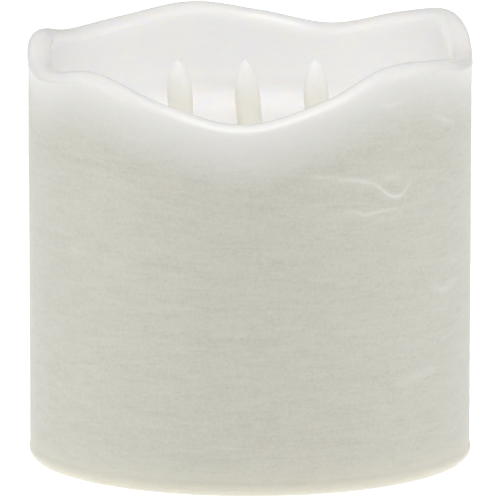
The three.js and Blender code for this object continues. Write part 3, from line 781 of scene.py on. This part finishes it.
def wax_mesh():
    turn = np.radians(spaced(0, 360, RUNS_ANGLES, *TURN_STEPS)[:-1])
    around = len(turn)
    crest = rim_crest(turn)
    lip_centre = crest - LIP_RADIUS
    rings = wax_rings()
    radius, base, share, outside = (np.array(column)[:, None] for column in zip(*rings))
    height = base + share * lip_centre[None, :]
    radius = np.broadcast_to(radius, height.shape).copy()
    angle = np.broadcast_to(turn[None, :], height.shape)
    below_rim = crest[None, :] - height
    outer = np.broadcast_to(outside, height.shape) > 0.5
    wall = outer & (below_rim > LIP_RADIUS) & (height > WAX_BOTTOM + FOOT_ROUND)

    fade = np.clip((below_rim - LIP_RADIUS) / RELIEF_FADE, 0, 1)
    x, y = radius * np.cos(angle), radius * np.sin(angle)
    points = np.stack([x[wall], y[wall], height[wall]], axis=1)
    brushing = np.zeros_like(radius)
    brushing[wall] = brushed_relief(points) - WALL_SETBACK
    run = fade * wall * run_relief(angle, height)
    radius += fade * brushing + run
    x, y = radius * np.cos(angle), radius * np.sin(angle)

    on_deck = (np.abs(height - DECK_TOP) < 0.01 * MM) & (radius < WAX_RADIUS - WAX_WALL)
    height = height.copy()
    height[on_deck] += deck_relief(x[on_deck], y[on_deck])

    vertices = np.stack([x, y, height], axis=2).reshape(-1, 3)
    faces = ring_faces(len(rings), around)
    faces.append(tuple(reversed(range(around))))
    start = (len(rings) - 1) * around
    faces.append(tuple(range(start, start + around)))
    mesh = bpy.data.meshes.new("wax_shell")
    mesh.from_pydata(vertices.tolist(), [], faces)
    layers = {
        "below_rim": below_rim,
        "outside": outer * 1.0,
        "run": run / (HIGHEST_RUN * MM),
    }
    for name, values in layers.items():
        layer = mesh.attributes.new(name, "FLOAT", "POINT")
        layer.data.foreach_set("value", values.astype(np.float32).ravel())
    mesh.update()
    return mesh


def cut_away(piece, mesh):
    """Cuts another closed mesh out of the piece."""
    tool = bpy.data.objects.new("tool", mesh)
    bpy.context.collection.objects.link(tool)
    step = piece.modifiers.new("cut", "BOOLEAN")
    step.object = tool
    step.operation = "DIFFERENCE"
    step.solver = "MANIFOLD"
    bpy.context.view_layer.objects.active = piece
    bpy.ops.object.modifier_apply(modifier=step.name)
    bpy.data.objects.remove(tool)


def cut_flame_holes(piece):
    """Cuts the three round holes that the flames stand in through the wax floor."""
    depth = DECK_TOP - DECK_UNDERSIDE
    profile = [
        (0, DECK_UNDERSIDE - depth),
        (FLAME_HOLE, DECK_UNDERSIDE - depth),
        (FLAME_HOLE, DECK_TOP + depth),
        (0, DECK_TOP + depth),
    ]
    for x, _ in FLAMES.values():
        mesh = lathe_mesh("hole", profile, 48)
        mesh.transform(Matrix.Translation((x, 0, 0)))
        cut_away(piece, mesh)


def make_wax(material):
    piece = make_object("wax_shell", wax_mesh(), material)
    cut_flame_holes(piece)
    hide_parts("wax_body")


# ---------- flames ----------
def ogive(radius, taper, below):
    """Radius of a pointed arch at a distance below its point."""
    t = max(0.0, 1 - below / taper)
    return radius * (1 - t**2.2) ** 0.6


def flame_mesh(name, lean):
    """A hollow cap in its own place: its axis on Z and the deck at height 0."""
    hollow_taper = 9 * MM
    crowd = 1.8  # brings the rings closer together towards a tip
    inner = FLAME_RADIUS - FLAME_WALL
    skirt, flange = 4.05 * MM, 5.5 * MM
    edge = 0.2 * MM
    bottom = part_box("flame_centre")[0].z - DECK_TOP
    flange_top = bottom + 1.3 * MM
    inside = []
    for t in np.linspace(0, 1, 10):
        depth = hollow_taper * t**crowd
        inside.append((ogive(inner, hollow_taper, depth), FLAME_HOLLOW_TOP - depth))
    outside = []
    for t in np.linspace(1, 0, 26):
        depth = FLAME_TAPER * t**crowd
        outside.append((ogive(FLAME_RADIUS, FLAME_TAPER, depth), FLAME_HEIGHT - depth))
    profile = [
        *inside,
        (inner, 3 * MM),
        (inner, 0),
        (inner, bottom + edge),
        (inner + edge, bottom),
        (flange - edge, bottom),
        (flange, bottom + edge),
        (flange, flange_top),
        (skirt, flange_top),
        (skirt, 0),
        (4.18 * MM, 2 * MM),
        (FLAME_RADIUS, 4.5 * MM),
        (FLAME_RADIUS, 7.5 * MM),
        *outside,
    ]
    mesh = lathe_mesh(name, profile, 56)
    slope = math.tan(lean)
    for vertex in mesh.vertices:
        vertex.co.x -= slope * max(0.0, vertex.co.z)
    return mesh


def make_flames(material):
    for side, (x, lean) in FLAMES.items():
        mesh = flame_mesh("flame_tip_" + side, lean)
        mesh.transform(Matrix.Translation((x, 0, DECK_TOP)))
        piece = make_object("flame_tip_" + side, mesh, material)
        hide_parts("flame_" + side)


# ---------- battery bay ----------
def cell_facing(number):
    """1 when a cell's nub points to the rear, -1 to the front; the middle cell is turned round."""
    return 1 if number == 2 else -1


def make_cells(material):
    """Smooth cells with rolled ends, in the CAD's places, turned from the flat end to the nub."""
    for number in (1, 2, 3):
        low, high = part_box(f"battery_{number}")
        radius = (high.x - low.x) / 2
        length = high.y - low.y
        centre = (low + high) / 2
        facing = cell_facing(number)
        corner, dent = 0.7 * MM, 0.4 * MM
        nub, nub_round = 3.3 * MM, 0.6 * MM
        profile = [
            (0, 0),
            (3.6 * MM, 0),
            *arc((9.5 * MM, dent), dent, -90, -30, 3),
            (11.6 * MM, 0.9 * MM),
            *arc((radius - corner, 0.9 * MM), corner, -60, 0, 5),
            (radius, length * 0.3),
            (radius, length * 0.6),
            *arc((radius - corner, length - 2.6 * MM), corner, 0, 70, 5),
            (4.2 * MM, length - 1.9 * MM),
            (nub, length - 1.7 * MM),
            *arc((nub - nub_round, length - nub_round), nub_round, 0, 90, 4),
            (0, length),
        ]
        mesh = lathe_mesh(f"cell_{number}", profile, 72)
        stand = Matrix.Rotation(-facing * math.pi / 2, 4, "X")
        start = Vector((centre.x, centre.y - facing * length / 2, centre.z))
        place = Matrix.Translation(start) @ stand
        piece = make_object(f"cell_{number}", mesh, material, place=place)
        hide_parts(f"battery_{number}")


def make_springs(material):
    """Conical springs of round wire, in the CAD's places, wide end on the wall of the bay."""
    wire, wide, narrow = 0.45 * MM, 7 * MM, 3.6 * MM
    turns, steps = 3, 96
    for number in (1, 2, 3):
        low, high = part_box(f"battery_spring_{number}")
        cell_low, cell_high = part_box(f"battery_{number}")
        axis = (cell_low + cell_high) / 2
        facing = cell_facing(number)
        back, front = (low.y, high.y) if facing > 0 else (high.y, low.y)
        path = []
        for t in np.linspace(0, 1, steps + 1):
            angle = 2 * math.pi * turns * t
            radius = wide + (narrow - wide) * t
            x = axis.x - facing * radius * math.cos(angle)
            y = back + facing * wire + (front - back - 2 * facing * wire) * t
            z = axis.z + radius * math.sin(angle)
            path.append((x, y, z))
        mesh = tube_mesh(f"spring_{number}", path, wire, 12)
        piece = make_object(f"spring_{number}", mesh, material)
        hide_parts(f"battery_spring_{number}")


# ---------- feet ----------
def make_feet(material):
    for number in (1, 2, 3, 4):
        low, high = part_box(f"foot_{number}")
        radius = (high.x - low.x) / 2
        height = high.z - low.z
        corner = 0.7 * MM
        profile = [
            (0, 0.15 * MM),
            (1.6 * MM, 0.12 * MM),
            (3.2 * MM, 0),
            *arc((radius - corner, corner), corner, -90, 0, 6),
            (radius, height),
            (0, height),
        ]
        mesh = lathe_mesh(f"rubber_foot_{number}", profile, 64)
        middle = (low + high) / 2
        mesh.transform(Matrix.Translation((middle.x, middle.y, 0)))
        piece = make_object(f"rubber_foot_{number}", mesh, material)
        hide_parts(f"foot_{number}")


# ---------- CAD nodes that stay ----------
def dress(material, *nodes, bevel=0.0):
    """Gives CAD nodes a material, and softens their edges by bevel metres."""
    for name in nodes:
        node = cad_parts[name]
        node.data.materials.clear()
        node.data.materials.append(material)
        if bevel:
            soften = node.modifiers.new("soft edges", "BEVEL")
            soften.width = bevel
            soften.segments = 2
            soften.limit_method = "ANGLE"
            soften.angle_limit = math.radians(35)


def dress_cad_nodes():
    base = plastic_material("base_plastic", (0.80, 0.79, 0.73), 0.5)
    dress(base, "base_plate", "battery_door", bevel=0.15 * MM)
    liner = plastic_material("liner_plastic", (0.84, 0.84, 0.81), 0.45)
    dress(liner, "inner_liner")
    black = plastic_material("black_plastic", (0.02, 0.02, 0.022), 0.45, 1500)
    dress(black, "timer_chip", "switch_knob", bevel=0.1 * MM)
    sleeve = plastic_material("capacitor_sleeve", (0.012, 0.02, 0.07), 0.3, 1200)
    dress(sleeve, "capacitor")
    dress(board_material(), "led_board", "control_board")
    screws = metal_material("zinc_screw", (0.62, 0.63, 0.64), 0.25)
    dress(screws, *(f"base_screw_{n}" for n in (1, 2, 3, 4)))
    for side in ("left", "right"):
        dress(screws, "led_board_screw_" + side, "control_board_screw_" + side)
    contacts = metal_material("nickel_contact", (0.72, 0.71, 0.68), 0.18, (1, 1, 8))
    dress(contacts, "contact_positive", "contact_negative")
    dress(contacts, "contact_bridge_front", "contact_bridge_rear")
    tin = metal_material("tinned_can", (0.68, 0.69, 0.68), 0.22, (6, 1, 1))
    dress(tin, "switch_body", "quartz_crystal", bevel=0.1 * MM)
    dress(lamp_material(), "led_left", "led_centre", "led_right")
    dress(resistor_material(), "resistor_1", "resistor_2", "resistor_3")
    red = plastic_material("red_insulation", (0.42, 0.025, 0.02), 0.38, 1800)
    dress(red, "led_wire_positive", "battery_wire_positive")
    dark = plastic_material("black_insulation", (0.02, 0.02, 0.02), 0.38, 1800)
    dress(dark, "led_wire_negative", "battery_wire_negative")
    return contacts


make_camera()
make_floor()
make_lights()
make_wax(wax_material())
make_flames(flame_material())
nickel = dress_cad_nodes()
make_cells(cell_material())
make_springs(nickel)
make_feet(rubber_material())
bpy.context.scene.view_settings.view_transform = "Standard"
